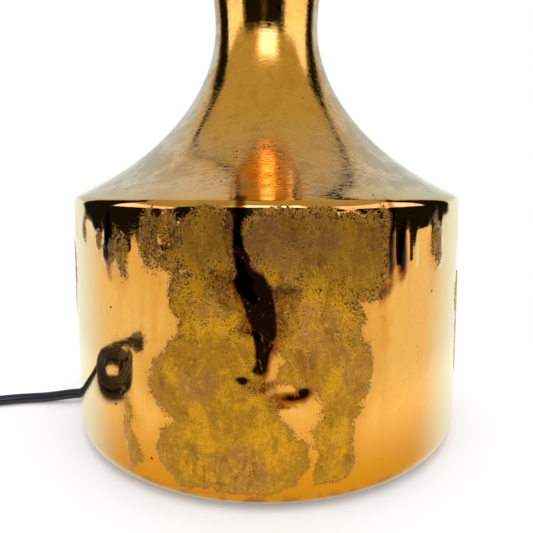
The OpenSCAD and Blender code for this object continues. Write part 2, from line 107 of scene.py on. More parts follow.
def mesh_object(name, verts, faces):
    mesh = bpy.data.meshes.new(name)
    mesh.from_pydata([tuple(v) for v in verts], [], faces)
    mesh.polygons.foreach_set("use_smooth", [True] * len(mesh.polygons))
    mesh.update()
    return link(bpy.data.objects.new(name, mesh))


# ---------------------------------------------------------------- camera
CAMERA_LENS, CAMERA_TILT = 32.535, 10.508
CAMERA_PLACE = (0, -311.9 * MM, 148.9 * MM)


def make_camera():
    cam = bpy.data.cameras.new("camera")
    cam.lens = CAMERA_LENS
    cam.sensor_width = 36
    cam.clip_start = 0.01
    obj = link(bpy.data.objects.new("camera", cam))
    obj.location = CAMERA_PLACE
    obj.rotation_euler = (math.radians(90 - CAMERA_TILT), 0, 0)
    scene.camera = obj


make_camera()


# ---------------------------------------------------------------- node trees
class Tree:
    """Short names for the shader nodes that the materials use."""

    def __init__(self, tree):
        self.tree = tree
        tree.nodes.clear()

    def add(self, kind, inputs=(), **settings):
        node = self.tree.nodes.new(kind)
        for key, value in settings.items():
            setattr(node, key, value)
        for key, value in dict(inputs).items():
            if hasattr(value, "is_output"):
                self.tree.links.new(value, node.inputs[key])
            elif value is not None:
                node.inputs[key].default_value = value
        return node

    def math(self, op, a, b=None):
        return self.add("ShaderNodeMath", {0: a, 1: b}, operation=op).outputs[0]

    def times(self, a, b):
        return self.math("MULTIPLY", a, b)

    def step(self, x, a, b):
        inputs = {"Value": x, "From Min": a, "From Max": b, "To Min": 0.0, "To Max": 1.0}
        return self.add("ShaderNodeMapRange", inputs, interpolation_type="SMOOTHSTEP").outputs[0]

    def span(self, x, a, b, soft):
        """1 between a and b, 0 outside, with soft edges."""
        return self.times(self.step(x, a - soft, a + soft), self.step(x, b + soft, b - soft))

    def mix(self, fac, a, b):
        node = self.add("ShaderNodeMix", data_type="RGBA")
        for index, value in ((0, fac), (6, a), (7, b)):
            if hasattr(value, "is_output"):
                self.tree.links.new(value, node.inputs[index])
            else:
                node.inputs[index].default_value = value
        return node.outputs[2]

    def blend(self, fac, a, b):
        node = self.add("ShaderNodeMix", {0: fac, 2: a, 3: b}, data_type="FLOAT")
        return node.outputs[0]

    def noise(self, vector, scale, detail=2.0, rough=0.5, distortion=0.0):
        inputs = {"Vector": vector, "Scale": scale, "Detail": detail, "Roughness": rough,
                  "Distortion": distortion}
        return self.add("ShaderNodeTexNoise", inputs).outputs["Fac"]

    def stretch(self, vector, scale):
        return self.add("ShaderNodeMapping", {"Vector": vector, "Scale": scale}).outputs[0]

    def coords(self):
        return self.add("ShaderNodeTexCoord").outputs["Object"]

    def bump(self, height, strength, distance, normal=None):
        inputs = {"Height": height, "Strength": strength, "Distance": distance, "Normal": normal}
        return self.add("ShaderNodeBump", inputs).outputs[0]

    def shader(self, **inputs):
        named = {key.replace("_", " "): value for key, value in inputs.items()}
        bsdf = self.add("ShaderNodeBsdfPrincipled", named)
        self.add("ShaderNodeOutputMaterial", {"Surface": bsdf.outputs[0]})
        return bsdf


def material(name, build):
    mat = bpy.data.materials.new(name)
    mat.use_nodes = True
    build(Tree(mat.node_tree))
    return mat


def rgb(r, g, b):
    return (r, g, b, 1.0)


# ---------------------------------------------------------------- materials
# Cream of the painted reflection at the glaze's grazing edges.
CREAM_EDGE_REFLECTION = rgb(0.78, 0.69, 0.36)
PALE = rgb(0.90, 0.84, 0.62)
GOLD = rgb(0.87, 0.455, 0.095)
# Deep red gold: the painted shade at the bottom, and the colour of the halo, the shoulder's film and the
# swirls.
DEEP_GOLD_AND_SHADE = rgb(0.66, 0.27, 0.008)
GOLD_NECK = rgb(0.92, 0.46, 0.050)
COPPER = rgb(0.74, 0.27, 0.03)
LAVA_GOLD = rgb(1.0, 0.475, 0.006)
LAVA_OLIVE = rgb(0.66, 0.30, 0.008)
LAVA_MAUVE = rgb(0.60, 0.26, 0.050)
# Dark specks and pits, and the painted shade on the upper patches.
SPECK_AND_SHADE = rgb(0.05, 0.02, 0.006)
DARK_GLAZE = rgb(0.010, 0.003, 0.001)
RED_GLAZE = rgb(0.30, 0.075, 0.006)
EMBER_LOW = rgb(0.10, 0.02, 0.003)
EMBER_HIGH = rgb(0.52, 0.17, 0.012)
LAVA_DARK = rgb(0.22, 0.08, 0.004)
LAVA_BRIGHT = rgb(1.0, 0.58, 0.025)
LAVA_RIM = rgb(0.86, 0.40, 0.015)
DULL_FILM = rgb(0.58, 0.48, 0.27)
DULL_SCRATCH = rgb(0.46, 0.36, 0.18)
BRIGHT_SCRATCH = rgb(1.0, 0.98, 0.85)
GLAZE_LAYERS = ("lava", "mauve", "ember", "dark")


def glaze(t):
    """Mirror gold lustre with rough lava patches; the mesh's four glaze layers are depths in mm."""
    p = t.coords()
    lava_depth_mm, mauve_mm, ember_mm, dark_mm = (
        t.add("ShaderNodeAttribute", attribute_name=name).outputs["Fac"] for name in GLAZE_LAYERS)
    height = t.add("ShaderNodeSeparateXYZ", {0: p}).outputs[2]
    facing = t.add("ShaderNodeLayerWeight", {"Blend": 0.5}).outputs["Facing"]
    grain = t.noise(p, 1150, 3, 0.75)
    medium = t.noise(p, 330, 3, 0.6)
    wobble = t.times(t.math("SUBTRACT", t.noise(p, 150, 3), 0.5), 5.0)
    fray = t.times(t.math("SUBTRACT", grain, 0.5), 9.0)
    edge = t.math("ADD", t.math("ADD", lava_depth_mm, wobble), fray)
    lava = t.step(edge, -0.7, 0.7)
    rim = t.step(edge, 3.2, 0.4)

    # rough patches
    tone = t.noise(p, 34, 5, 0.65, 0.8)
    flow = t.noise(t.stretch(p, (1, 1, 0.45)), 95, 4, 0.65, 1.4)
    drift = t.times(t.math("SUBTRACT", t.noise(p, 62, 4, 0.6, 0.6), 0.5), 22.0)
    mauve = t.step(t.math("ADD", mauve_mm, drift), -1.5, 4.0)
    lava_color = t.mix(t.step(tone, 0.44, 0.58), LAVA_OLIVE, LAVA_GOLD)
    lava_color = t.mix(t.times(mauve, t.blend(t.step(flow, 0.40, 0.60), 0.35, 0.95)),
                       lava_color, LAVA_MAUVE)
    lava_color = t.mix(t.times(t.step(flow, 0.50, 0.66), 0.60), lava_color, LAVA_GOLD)
    lava_color = t.mix(t.times(t.step(flow, 0.46, 0.34), 0.45), lava_color, RED_GLAZE)
    # Painted shade: the patches darken towards the top of the drum, standing in for the dark room that they
    # reflect.
    painted_shade_high = t.times(t.step(height, 0.088, 0.126), 0.52)
    lava_color = t.mix(t.times(t.step(medium, 0.52, 0.40), 0.22), lava_color, LAVA_DARK)
    lava_color = t.mix(t.times(t.step(medium, 0.56, 0.66), 0.55), lava_color, LAVA_BRIGHT)
    lava_color = t.mix(painted_shade_high, lava_color, SPECK_AND_SHADE)
    # Dark specks, denser at the patch edges; they also grow denser and darker towards the top, which is
    # painted shade.
    speckle = t.math("ADD", grain, t.times(t.math("SUBTRACT", medium, 0.5), 0.45))
    dense = t.times(t.step(edge, 7.0, 0.6), t.blend(t.step(height, 0.06, 0.11), 0.02, 0.10))
    over = t.math("ADD", speckle, dense)
    specks_and_shade = t.times(t.step(over, 0.575, 0.655), t.blend(t.step(height, 0.05, 0.10), 0.42, 0.9))
    lava_color = t.mix(t.times(rim, 0.45), lava_color, LAVA_RIM)
    lava_color = t.mix(specks_and_shade, lava_color, SPECK_AND_SHADE)

    # mirror gold
    # Painted shade: the gold turns darker and redder towards the bottom, for the contact shadow that the
    # mirror reflects from the floor.
    gold = t.mix(t.step(height, 0.010, 0.050), DEEP_GOLD_AND_SHADE, GOLD)
    gold = t.mix(t.step(height, 0.136, 0.142), gold, GOLD_NECK)
    streak = t.noise(t.stretch(p, (1, 1, 0.12)), 140, 3)
    gold = t.mix(t.times(t.step(streak, 0.50, 0.80), 0.55), gold, COPPER)
    halo = t.times(t.step(t.math("ADD", lava_depth_mm, wobble), -7.0, -0.5), 0.5)
    gold = t.mix(halo, gold, DEEP_GOLD_AND_SHADE)
    gold = t.mix(t.times(t.step(medium, 0.56, 0.42), 0.10), gold, COPPER)
    scuff = t.times(t.step(t.noise(t.stretch(p, (1, 1, 0.3)), 300, 4, 0.7), 0.60, 0.72),
                   t.step(t.noise(p, 21, 2), 0.50, 0.66))
    gold = t.mix(t.times(scuff, 0.6), gold, COPPER)
    # A red band along the very bottom, broken up by noise.
    foot_band = t.times(t.step(height, 0.011, 0.004), t.step(t.noise(p, 120, 3), 0.42, 0.62))
    gold = t.mix(foot_band, gold, RED_GLAZE)
    cells = t.add("ShaderNodeTexVoronoi", {"Vector": p, "Scale": 150.0})
    chance = t.add("ShaderNodeSeparateColor", {0: cells.outputs["Color"]}).outputs[0]
    pit_size = t.times(t.step(chance, 0.60, 1.0), 0.12)
    pit = t.math("LESS_THAN", cells.outputs["Distance"], pit_size)
    gold = t.mix(pit, gold, SPECK_AND_SHADE)

    # dull scratched shoulder
    shoulder = t.step(height, 0.138, 0.146)
    turned = t.noise(t.stretch(p, (1, 1, 7)), 330, 5, 0.75, 0.4)
    crossed = t.noise(t.stretch(p, (0.12, 1, 1)), 520, 4, 0.7)
    tipped = t.add("ShaderNodeMapping", {"Vector": p, "Rotation": (0.5, 0.4, 0.7)}).outputs[0]
    slanted = t.noise(t.stretch(tipped, (0.06, 1, 1)), 700, 3, 0.7)
    scratch = t.math("MAXIMUM", t.step(turned, 0.52, 0.66), t.step(crossed, 0.56, 0.66))
    film = t.noise(p, 48, 5, 0.7, 0.5)
    gold = t.mix(t.times(t.times(scratch, shoulder), 0.42), gold, COPPER)
    gold = t.mix(t.times(t.times(t.step(film, 0.50, 0.70), shoulder), 0.35), gold, DEEP_GOLD_AND_SHADE)
    dull = t.mix(t.step(film, 0.40, 0.62), PALE, DULL_FILM)
    dull = t.mix(t.times(scratch, 0.55), dull, DULL_SCRATCH)
    dull = t.mix(t.step(slanted, 0.66, 0.72), dull, BRIGHT_SCRATCH)
    skirt = t.times(t.step(height, 0.190, 0.142), t.times(shoulder, t.step(film, 0.34, 0.60)))
    gold = t.mix(t.times(skirt, 0.40), gold, dull)
    # Painted reflection: towards the grazing edges the gold turns cream, standing in for the white
    # surroundings that the glaze reflects there; on the shoulder it turns to the dull film's colour.
    edge_reflection = t.mix(shoulder, CREAM_EDGE_REFLECTION, dull)
    gold = t.mix(t.step(facing, 0.46, 0.80), gold, edge_reflection)

    # dark channel between the patches
    edge_dark = t.math("ADD", dark_mm, t.times(wobble, 0.45))
    swirl = t.noise(t.stretch(p, (1, 1, 0.6)), 210, 4, 0.7, 2.5)
    ember = t.step(t.math("ADD", ember_mm, t.times(wobble, 1.2)), -1.6, 1.4)
    # Red and gold swirls in the dark channel: partly the glaze's colour, partly painted reflection.
    swirl_and_reflection_color = t.mix(t.step(swirl, 0.42, 0.60), EMBER_LOW, EMBER_HIGH)
    swirl_and_reflection_color = t.mix(t.step(swirl, 0.60, 0.70), swirl_and_reflection_color, DEEP_GOLD_AND_SHADE)
    gold = t.mix(ember, gold, swirl_and_reflection_color)
    gold = t.mix(t.step(edge_dark, -2.2, -0.6), gold, RED_GLAZE)
    dark = t.step(edge_dark, -0.9, 0.2)
    gold = t.mix(t.times(dark, t.step(swirl, 0.68, 0.60)), gold, DARK_GLAZE)
    clear = t.math("SUBTRACT", 1.0, ember)
    kept = t.times(t.step(edge_dark, 0.2, -1.0), t.blend(t.step(grain, 0.42, 0.56), clear, 1.0))
    lava = t.times(lava, kept)

    rough_gold = t.blend(shoulder, 0.03, t.blend(scratch, 0.05, 0.13))
    micro = t.times(t.math("ADD", scratch, turned), t.blend(shoulder, 0.04, 0.5))
    normal = t.bump(micro, 0.08, 0.0005)
    rough_height = t.times(t.math("ADD", grain, t.times(medium, 1.6)), lava)
    normal = t.bump(rough_height, 0.9, 0.0016, normal)
    t.shader(Base_Color=t.mix(lava, gold, lava_color), Metallic=t.blend(lava, 1.0, 0.85),
             Roughness=t.blend(lava, rough_gold, 0.36), Normal=normal)


def brass(t):
    p = t.coords()
    turned = t.noise(t.stretch(p, (0.05, 0.05, 1)), 2600, 2)
    tarnish = t.noise(p, 55, 4, 0.6)
    color = t.mix(t.step(tarnish, 0.48, 0.75), rgb(0.83, 0.55, 0.21), rgb(0.48, 0.29, 0.09))
    rough = t.blend(t.step(tarnish, 0.4, 0.7), 0.16, 0.36)
    t.shader(Base_Color=color, Metallic=1.0, Roughness=rough, Normal=t.bump(turned, 0.12, 0.0003))


def metal(color, dark, rough):
    def build(t):
        p = t.coords()
        cloud = t.noise(p, 180, 4, 0.6)
        fine = t.noise(p, 2200, 2)
        t.shader(Base_Color=t.mix(t.step(cloud, 0.42, 0.72), color, dark), Metallic=1.0,
                 Roughness=t.blend(cloud, rough, rough + 0.2), Normal=t.bump(fine, 0.10, 0.0002))
    return build


def plastic(color, light, rough):
    def build(t):
        p = t.coords()
        cloud = t.noise(p, 70, 3)
        fine = t.noise(p, 1400, 3, 0.7)
        t.shader(Base_Color=t.mix(t.step(cloud, 0.35, 0.75), color, light),
                 Roughness=t.blend(fine, rough - 0.06, rough + 0.1), Normal=t.bump(fine, 0.15, 0.0002))
    return build


def fibre(color, light, rough):
    def build(t):
        p = t.coords()
        hair = t.noise(t.stretch(p, (1, 1, 3)), 1300, 4, 0.8, 1.5)
        cloud = t.noise(p, 60, 3)
        mixed = t.mix(t.step(t.math("ADD", hair, t.times(cloud, 0.3)), 0.5, 0.85), color, light)
        t.shader(Base_Color=mixed, Roughness=rough, Normal=t.bump(hair, 0.5, 0.0005))
    return build


def bulb_glass_look(t):
    """Thin clear glass: a faint film that thickens towards the rim, without bending what is behind it."""
    p = t.coords()
    haze = t.noise(p, 30, 3)
    rim = t.add("ShaderNodeLayerWeight", {"Blend": 0.3}).outputs["Facing"]
    film = t.blend(t.math("POWER", rim, 2.0), 0.05, 0.5)
    t.shader(Base_Color=t.mix(haze, rgb(0.62, 0.65, 0.66), rgb(0.52, 0.56, 0.57)), Alpha=film,
             IOR=1.45, Roughness=t.blend(haze, 0.02, 0.05))


MATERIALS = {
    "lustre_glaze": material("lustre_glaze", glaze),
    "hardboard": material("hardboard", fibre(rgb(0.13, 0.07, 0.03), rgb(0.24, 0.14, 0.07), 0.8)),
    "felt": material("felt", fibre(rgb(0.012, 0.02, 0.014), rgb(0.04, 0.06, 0.045), 0.95)),
    "black_rubber": material("black_rubber", plastic(rgb(0.008, 0.008, 0.008), rgb(0.02, 0.02, 0.02), 0.55)),
    "lead_sheath": material("lead_sheath", plastic(rgb(0.006, 0.007, 0.007), rgb(0.014, 0.015, 0.015), 0.30)),
    "core_insulation": material("core_insulation",
                                plastic(rgb(0.16, 0.05, 0.02), rgb(0.2, 0.08, 0.03), 0.35)),
    "zinc_steel": material("zinc_steel", metal(rgb(0.62, 0.62, 0.63), rgb(0.42, 0.42, 0.44), 0.28)),
    "cork": material("cork", fibre(rgb(0.30, 0.17, 0.08), rgb(0.48, 0.31, 0.17), 0.85)),
    "brass": material("brass", brass),
    "spring_bronze": material("spring_bronze", metal(rgb(0.80, 0.48, 0.24), rgb(0.5, 0.28, 0.14), 0.25)),
    "porcelain": material("porcelain", plastic(rgb(0.80, 0.78, 0.72), rgb(0.70, 0.67, 0.60), 0.35)),
    "liner_card": material("liner_card", fibre(rgb(0.36, 0.27, 0.14), rgb(0.46, 0.36, 0.22), 0.7)),
    "ivory_plastic": material("ivory_plastic", plastic(rgb(0.72, 0.64, 0.45), rgb(0.64, 0.55, 0.38), 0.4)),
    "lamp_glass": material("lamp_glass", bulb_glass_look),
    "cap_aluminium": material("cap_aluminium", metal(rgb(0.80, 0.80, 0.81), rgb(0.62, 0.62, 0.64), 0.22)),
    "vitrite": material("vitrite", plastic(rgb(0.01, 0.01, 0.014), rgb(0.02, 0.02, 0.025), 0.12)),
    "solder": material("solder", metal(rgb(0.50, 0.51, 0.52), rgb(0.34, 0.35, 0.36), 0.42)),
    "tungsten": material("tungsten", metal(rgb(0.22, 0.21, 0.20), rgb(0.12, 0.12, 0.12), 0.35)),
    "plug_plastic": material("plug_plastic", plastic(rgb(0.010, 0.010, 0.011), rgb(0.02, 0.02, 0.02), 0.42)),
    "nickel_pin": material("nickel_pin", metal(rgb(0.72, 0.70, 0.66), rgb(0.55, 0.53, 0.5), 0.16)),
}


def finish_piece(obj, slot, body, *nodes):
    """Material, record slot, body and the CAD nodes that the piece stands for."""
    obj.data.materials.clear()
    obj.data.materials.append(MATERIALS[slot])
    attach(obj, body)
    if nodes:
        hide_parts(*nodes)
    return obj


# ---------------------------------------------------------------- mains lead
RUN_ROUTE = mm([(-123.7, -8.7, 6), (-130, -9.1, 5.8), (-136, -9.4, 5.1), (-142, -9.6, 4.3),
                (-149, -9.8, 3.6), (-157, -10.2, 3.3), (-167, -11.7, 3.3), (-178, -14.4, 3.3),
                (-190, -17.5, 3.4), (-203, -20.9, 3.7), (-217, -24.6, 4)])
TAIL_ROUTE = mm([(-261, -54, 10.5), (-268, -62.5, 10.2), (-275, -72, 9.5), (-281, -83, 8.3),
                 (-285, -95, 7.3), (-287, -106, 6.9), (-287.5, -115, 6.9)])


def coil_points():
    """Two layers of turns: inwards on the table, then outwards on top of them."""
    pitch, start, end = LEAD_D, math.radians(105), math.radians(140)
    low = COIL_FLOOR + LEAD_D / 2
    down_turns = 3.75
    up_turns = 3 + ((end - start) / math.tau - down_turns) % 1
    steps = 24
    points = []
    for i in range(int((down_turns + up_turns) * steps) + 1):
        u = min(i / steps, down_turns + up_turns)
        inward = min(u, down_turns)
        r = COIL_OUTER - pitch * inward + pitch * max(0, u - down_turns)
        lift = smooth(np.array(u), down_turns - 0.25, down_turns + 0.25)
        a = start + math.tau * u
        points.append(Vector((COIL_AT.x + r * math.cos(a), COIL_AT.y + r * math.sin(a),
                              low + LEAD_D * float(lift))))
    return points


def catmull(points, spacing):
    """One smooth curve through the points, with a point about every spacing."""
    out = []
    for i in range(len(points) - 1):
        a, b = points[max(i - 1, 0)], points[i]
        c, d = points[i + 1], points[min(i + 2, len(points) - 1)]
        n = max(1, round((c - b).length / spacing))
        for k in range(n):
            s = k / n
            out.append(0.5 * (2 * b + (c - a) * s + (2 * a - 5 * b + 4 * c - d) * s * s
                              + (3 * b - a - 3 * c + d) * s ** 3))
    out.append(points[-1].copy())
    return out


def make_lead():
    route = catmull(RUN_ROUTE + coil_points() + TAIL_ROUTE, 4 * MM)
    data = bpy.data.curves.new("mains_lead", "CURVE")
    data.dimensions = "3D"
    data.bevel_depth = LEAD_D / 2
    data.bevel_resolution = 5
    data.use_fill_caps = True
    line = data.splines.new("POLY")
    line.points.add(len(route) - 1)
    for point, place in zip(line.points, route):
        point.co = (*place, 1)
    line.use_smooth = True
    obj = link(bpy.data.objects.new("mains_lead", data))
    length = sum((b - a).length for a, b in zip(route, route[1:]))
    finish_piece(obj, "lead_sheath", "lamp", "lead_run", "lead_coil", "lead_tail")
    return obj, length


lead, LEAD_LENGTH = make_lead()


# ---------------------------------------------------------------- glazed body
# Ellipses in the glaze: (degrees right of the front, height, half width in degrees, half height), mm.
LAVA = [(-12.5, 124, 6.5, 13), (-15, 116, 5, 9), (-9, 112, 3, 6), (-21, 126, 1.6, 7), (-22, 113, 2.2, 4),
        (-13, 103, 6.5, 8), (-11, 94, 7.5, 9), (-12.5, 84, 7, 9), (-12.5, 74, 9.5, 10), (-15, 65, 10.5, 10),
        (-15, 55, 10.5, 10), (-19, 98, 3, 9), (-20.5, 60, 4.5, 11), (-6, 64, 5, 7),
        (-5, 75, 4, 8), (-4, 52, 6, 7), (-16, 48, 7, 6),
        (-18, 26, 8, 15), (-10, 28, 10, 18), (-1, 25, 9.5, 15), (2.5, 29, 5.5, 13), (-3, 41, 7, 8),
        (2, 124, 7, 12), (3, 112, 5.5, 9), (10, 122, 7, 14), (17, 120, 8, 16), (22, 116, 5.5, 17),
        (12, 108, 7, 8), (21, 104, 5, 9), (10, 97, 8, 8), (12, 88, 9, 9), (8, 80, 6, 9),
        (13, 76, 8, 10), (9, 66, 6, 8), (16, 66, 6, 10), (20, 62, 5, 13), (15, 56, 5, 7),
        (16, 48, 4.5, 9), (14.5, 36, 4.5, 10), (15, 24, 4, 9), (14, 18, 3, 4),
        (-35, 38, 0.9, 7), (-33, 26, 1.1, 7), (-31.5, 16, 1.1, 5), (-43.5, 119, 1.6, 4),
        (-38.6, 115, 1.5, 6), (-34.2, 114, 1.9, 8), (-27.4, 121, 0.9, 7), (-25, 124, 0.7, 8),
        (45.2, 117, 1.7, 11), (26.8, 120, 0.5, 12), (-52, 124, 1.0, 6),
        (70, 60, 7, 22), (76, 44, 7, 14), (82, 30, 6, 13), (66, 84, 5, 12), (98, 112, 9, 16),
        (106, 94, 8, 16), (112, 76, 5, 14), (140, 58, 8, 24), (148, 36, 8, 18), (134, 84, 5, 12),
        (172, 116, 10, 12), (180, 98, 8, 16), (186, 76, 6, 16), (-70, 100, 6, 14), (-75, 82, 6, 14),
        (-80, 64, 4, 12), (-108, 44, 9, 18), (-101, 26, 7, 12), (-114, 66, 5, 12), (-138, 110, 8, 16),
        (-145, 90, 7, 16), (-150, 68, 5, 14)]
MAUVE = [(-1, 124, 6, 13), (4, 116, 6, 12), (12, 126, 5, 9), (20, 64, 5, 14), (10, 84, 6, 14),
         (-5, 22, 7, 12), (-14, 60, 5, 10), (-11, 96, 4, 8), (72, 52, 5, 14), (104, 100, 5, 12),
         (144, 48, 5, 16),
         (178, 104, 6, 12), (-74, 90, 4, 10), (-105, 36, 5, 10), (-141, 100, 5, 12)]
EMBER = [(4.2, 99, 3.2, 7), (3.0, 89, 2.4, 9), (1.2, 79, 1.6, 7), (-8.5, 106, 4.6, 5.5), (-6.8, 98, 3.6, 6),
         (-4.2, 88, 2.2, 7), (-7.5, 126, 1.2, 9), (-1, 60, 3, 4), (4, 53, 4, 3.5), (27, 98, 0.9, 5),
         (92, 90, 3, 16), (162, 76, 3, 15), (-92, 56, 3, 16), (-130, 90, 2.6, 15)]
DARK = [(-5.7, 128, 0.5, 8), (-5.0, 119, 0.6, 7), (-4.4, 112, 1.0, 5), (-3.4, 106, 2.4, 5),
        (-2.2, 100, 3.3, 6), (-1.2, 93, 3.1, 7), (-0.6, 86, 2.4, 7), (-0.5, 79, 1.5, 6),
        (-0.9, 73, 0.8, 5), (-2, 68, 0.9, 1.2),
        (-5, 63, 1.0, 1.2), (5.6, 55, 1.8, 1.2), (7.6, 57, 0.9, 1.8), (28.3, 118, 0.5, 9),
        (31.6, 116, 1.0, 8), (-39.5, 118, 0.7, 8), (90, 96, 1.5, 12), (160, 80, 1.6, 12),
        (-90, 60, 1.5, 12), (-128, 96, 1.3, 12)]
# Runs of glaze under the drum's edge: (degrees, half width, height of the bead, thickness), mm.
RUNS = [(-45, 2.4, 122, 0.35), (-40.2, 1.5, 111, 0.75), (-34.5, 3.2, 108, 0.55), (-27.5, 2.2, 113, 0.6),
        (-22.8, 1.1, 117, 0.7), (-18.8, 1.0, 119, 0.7), (27.8, 1.1, 111, 0.8), (31.6, 1.4, 108, 0.9),
        (35.6, 1.3, 109, 0.9), (39.5, 2.0, 124, 0.4), (45.5, 3.0, 108, 0.6), (64, 2.5, 116, 0.5),
        (88, 3, 110, 0.6), (126, 2.5, 104, 0.7), (160, 3, 112, 0.6), (-62, 2.4, 118, 0.5),
        (-92, 3, 106, 0.7), (-121, 2.6, 112, 0.6), (-160, 3, 108, 0.6)]


def outer_outline():
    rise = np.array([math.sin(SLOPE), math.cos(SLOPE)])
    start = np.array([DRUM_R - EDGE_R, DRUM_H - EDGE_R]) + EDGE_R * rise
    waist = np.array([WAIST_R, WAIST_Z])
    foot = arc((FOOT_R - FOOT_ROUND, FOOT_Z + FOOT_ROUND), FOOT_ROUND, -90, 0, 9)
    wall_z = np.linspace(FOOT_Z + FOOT_ROUND, DRUM_H - EDGE_R, 92)[1:]
    wall = np.c_[np.interp(wall_z, [wall_z[0], wall_z[-1]], [FOOT_R, DRUM_R]), wall_z]
    edge = arc((DRUM_R - EDGE_R, DRUM_H - EDGE_R), EDGE_R, 0, 90 - math.degrees(SLOPE), 10)[1:]
    shoulder = bezier(start, start + SHOULDER_REACH * np.array([-math.cos(SLOPE), math.sin(SLOPE)]),
                      waist - [0, WAIST_REACH], waist, np.linspace(0, 1, 56)[1:])
    u = np.linspace(0, 1, 14)[1:]
    neck = np.c_[WAIST_R + LIP_FLARE * u ** 2, WAIST_Z + (LIP_RISE - LIP_EDGE) * u]
    lip = arc((WAIST_R + LIP_FLARE - LIP_EDGE, LIP_Z - LIP_EDGE), LIP_EDGE, 15, 90, 4)
    return np.vstack([foot, wall, edge, shoulder, neck, lip])


def turned_angles():
    """Finer steps on the front half, in degrees right of the front."""
    front = np.linspace(-76, 76, 360, endpoint=False)
    back = np.linspace(76, 284, 170, endpoint=False)
    return np.concatenate([front, back])


def wrap(a):
    return (a + 180) % 360 - 180


JOIN_MM = 1.1


def depth_in(ellipses, az, z):
    """Depth inside the joined-up ellipses, in mm: below zero outside."""
    total = np.zeros(az.shape)
    for a, h, half_a, half_h in ellipses:
        wide = half_a * math.radians(1) * DRUM_R / MM
        q = np.hypot(wrap(az - a) / half_a, (z / MM - h) / half_h)
        total += np.exp(np.clip((1 - q) * min(wide, half_h), -24, 24) / JOIN_MM)
    depth = JOIN_MM * np.log(total + 1e-7)
    return np.where(z > DRUM_H - 2 * MM, np.minimum(depth, (DRUM_H - z) / MM), depth)


def fractal(points, scales):
    """Sum of smooth noise at the given scales, each with its own weight."""
    return np.array([sum(w * noise.noise(Vector(p) * k) for k, w in scales) for p in points])


def relief(az, z, points, depth):
    """How far the glaze stands out at each point, in metres."""
    soft = fractal(points, [(22, 0.15), (47, 0.07), (130, 0.022)])
    lumps = fractal(points, [(260, 1.0)])
    drum = smooth(z, 2 * MM, 12 * MM) * smooth(z, DRUM_H - 1 * MM, DRUM_H - 10 * MM)
    upper = smooth(z, DRUM_H - 2 * MM, DRUM_H + 10 * MM)
    out = soft + upper * fractal(points, [(75, 0.07), (190, 0.012)])
    body = smooth(depth, -1.5, 1.5)
    bead = np.exp(-((depth - 0.8) / 1.5) ** 2)
    out = out + drum * (0.34 * body + 0.10 * bead + 0.15 * lumps * body)
    for a, half, low, thick in RUNS:
        across = np.exp(-(np.abs(wrap(az - a)) / half) ** 3)
        zz = z / MM
        length = DRUM_H / MM - 4 - low
        along = np.clip((DRUM_H / MM - 4 - zz) / length, 0, 1) * smooth(zz, low - 3.2, low + 1.6)
        out = out + thick * across * along
    channel = np.exp(-((wrap(az + 1.5) / 7.5) ** 2)) * smooth(z, 60 * MM, 75 * MM) * drum
    swirl = fractal(points * [1, 1, 0.5], [(140, 1.0)])
    out = out + channel * (1 - body) * 0.16 * swirl
    return out * MM


def make_body():
    outline = outer_outline()
    angles = turned_angles()
    rows, cols = len(outline), len(angles)
    tangent = np.gradient(outline, axis=0)
    tangent /= np.linalg.norm(tangent, axis=1)[:, None]
    az, row = np.meshgrid(angles, np.arange(rows))
    turn = np.radians(az) + FRONT
    r, z = outline[row, 0], outline[row, 1]
    base = np.stack([r * np.cos(turn), r * np.sin(turn), z], -1).reshape(-1, 3)
    sway = fractal(base, [(60, 2.2), (170, 0.8)]).reshape(r.shape)
    lift = fractal(base + [1, 2, 3], [(60, 2.6), (170, 1.0)]).reshape(r.shape) * MM
    shapes = ((LAVA, 1.0), (MAUVE, 1.0), (EMBER, 0.6), (DARK, 0.35))
    layers = [depth_in(ellipses, az + sway * k, z + lift * k).ravel() for ellipses, k in shapes]
    out = relief(az.ravel(), z.ravel(), base, layers[0]).reshape(r.shape)
    out = out * smooth(np.arange(rows), 0, 6)[row] * smooth(np.arange(rows), rows - 1, rows - 5)[row]
    r = r + out * tangent[row, 1]
    z = z - out * tangent[row, 0]
    outer = np.stack([r * np.cos(turn), r * np.sin(turn), z], -1).reshape(-1, 3)
    inner_line = np.array([[WAIST_R + LIP_FLARE - NECK_WALL, LIP_Z], [WAIST_R - NECK_WALL, WAIST_Z],
                           [60 * MM, 150 * MM], [DRUM_R - WALL, 125 * MM],
                           [FOOT_R - FOOT_WALL, 12 * MM], [FOOT_R - FOOT_WALL, FOOT_Z]])
    turn_row = np.radians(angles) + FRONT
    inner = np.vstack([np.c_[q[0] * np.cos(turn_row), q[0] * np.sin(turn_row), np.full(cols, q[1])]
                       for q in inner_line])
    verts = np.vstack([outer, inner])
    obj = mesh_object("glazed_body", verts, ring_faces(rows + len(inner_line), cols))
    for name, depth in zip(GLAZE_LAYERS, layers):
        layer = obj.data.attributes.new(name, "FLOAT", "POINT")
        layer.data.foreach_set("value", np.concatenate([depth, np.full(len(inner), -20.0)]))
    return finish_piece(obj, "lustre_glaze", "lamp", "ceramic_body")


make_body()


# ---------------------------------------------------------------- lathe pieces with real threads
def closed_lathe(name, outline, cols, push):
    """Turned solid from a closed (r, z) outline; push(angle, row, r, z) moves a point along its radius."""
    outline = np.array(outline)
    rows = len(outline)
    turn = np.linspace(0, math.tau, cols, endpoint=False)
    angle, row = np.meshgrid(turn, np.arange(rows))
    r, z = outline[row, 0], outline[row, 1]
    r = r + push(angle, row, r, z)
    verts = np.stack([r * np.cos(angle), r * np.sin(angle), z], -1).reshape(-1, 3)
    return mesh_object(name, verts, ring_faces(rows, cols))


